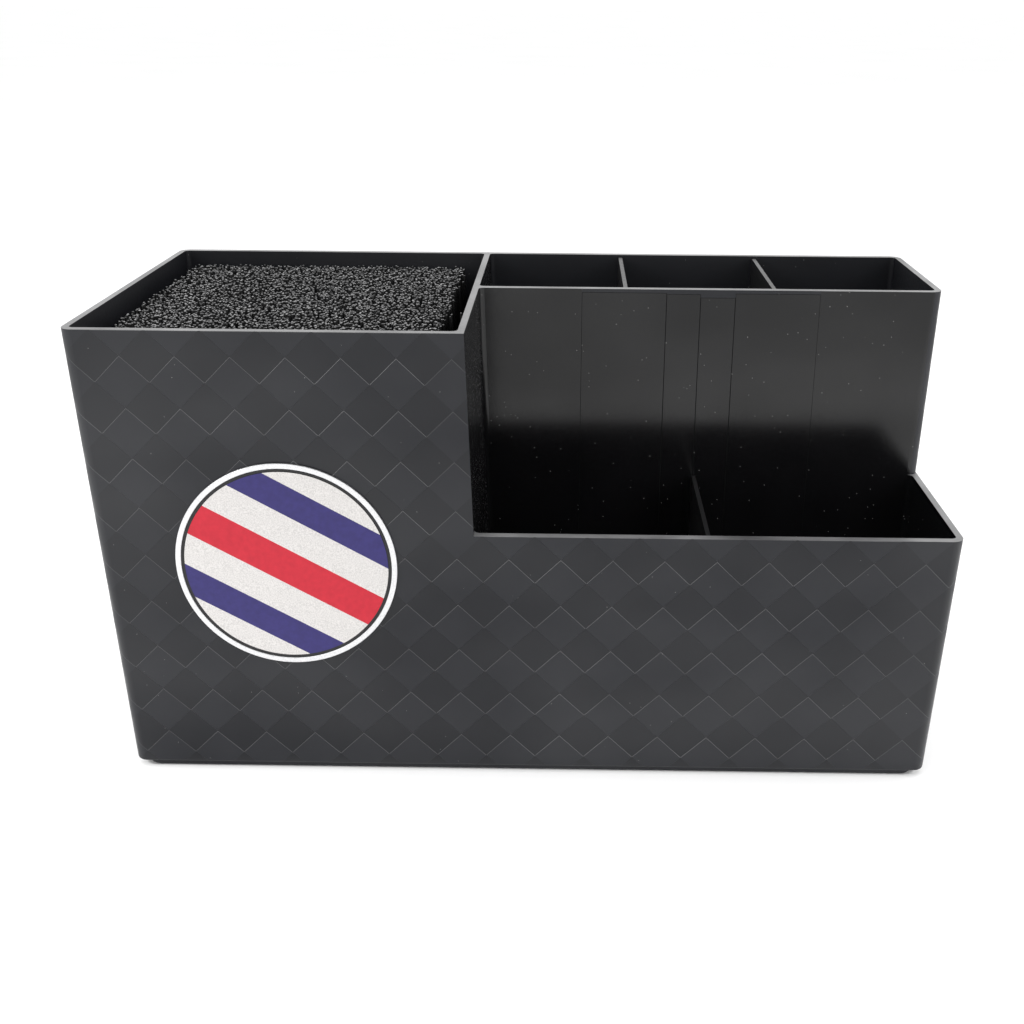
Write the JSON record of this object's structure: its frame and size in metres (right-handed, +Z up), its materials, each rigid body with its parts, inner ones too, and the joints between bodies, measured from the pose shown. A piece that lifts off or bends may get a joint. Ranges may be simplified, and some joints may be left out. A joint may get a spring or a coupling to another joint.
{
  "type": "barber tool organiser",
  "caption": "Countertop barber tool organiser: tall bay with a lift-out filament insert beside two stepped rows of open bins with lift-out dividers.",
  "frame": {"origin": "on the resting surface, under the middle of the high rim", "axes": "+X along the width to the right seen from the front, +Y towards the back, +Z up"},
  "size_m": [0.3, 0.144, 0.1668],
  "materials": {
    "housing_plastic": "satin moulded, with a pattern of satin and glossy diamonds on the outside",
    "divider_plastic": "smooth moulded, half gloss",
    "tray_plastic": "fine moulded texture",
    "filament_nylon": "round nylon filaments with cut tips, soft sheen",
    "badge_face": "silver-white grained face with blue and red bands under clear lacquer",
    "pad_rubber": "matte"
  },
  "bodies": {
    "housing": {"housing": "housing_plastic", "badge": "badge_face", "foot_pad_front_left": "pad_rubber", "foot_pad_front_right": "pad_rubber", "foot_pad_rear_left": "pad_rubber", "foot_pad_rear_right": "pad_rubber"},
    "insert": {"filament_tray": "tray_plastic", "filament_pack": "filament_nylon"},
    "rear_plate_left": {"rear_divider_left": "divider_plastic"},
    "rear_plate_right": {"rear_divider_right": "divider_plastic"},
    "front_plate": {"front_divider": "divider_plastic"}
  },
  "joints": [
    {"name": "insert_lift", "type": "slide", "parent": "housing", "child": "insert", "axis": [0, 0, 1], "range_m": [0, 0.165]},
    {"name": "rear_left_lift", "type": "slide", "parent": "housing", "child": "rear_plate_left", "axis": [0, 0, 1], "range_m": [0, 0.165]},
    {"name": "rear_right_lift", "type": "slide", "parent": "housing", "child": "rear_plate_right", "axis": [0, 0, 1], "range_m": [0, 0.165]},
    {"name": "front_lift", "type": "slide", "parent": "housing", "child": "front_plate", "axis": [0, 0, 1], "range_m": [0, 0.165]}
  ]
}
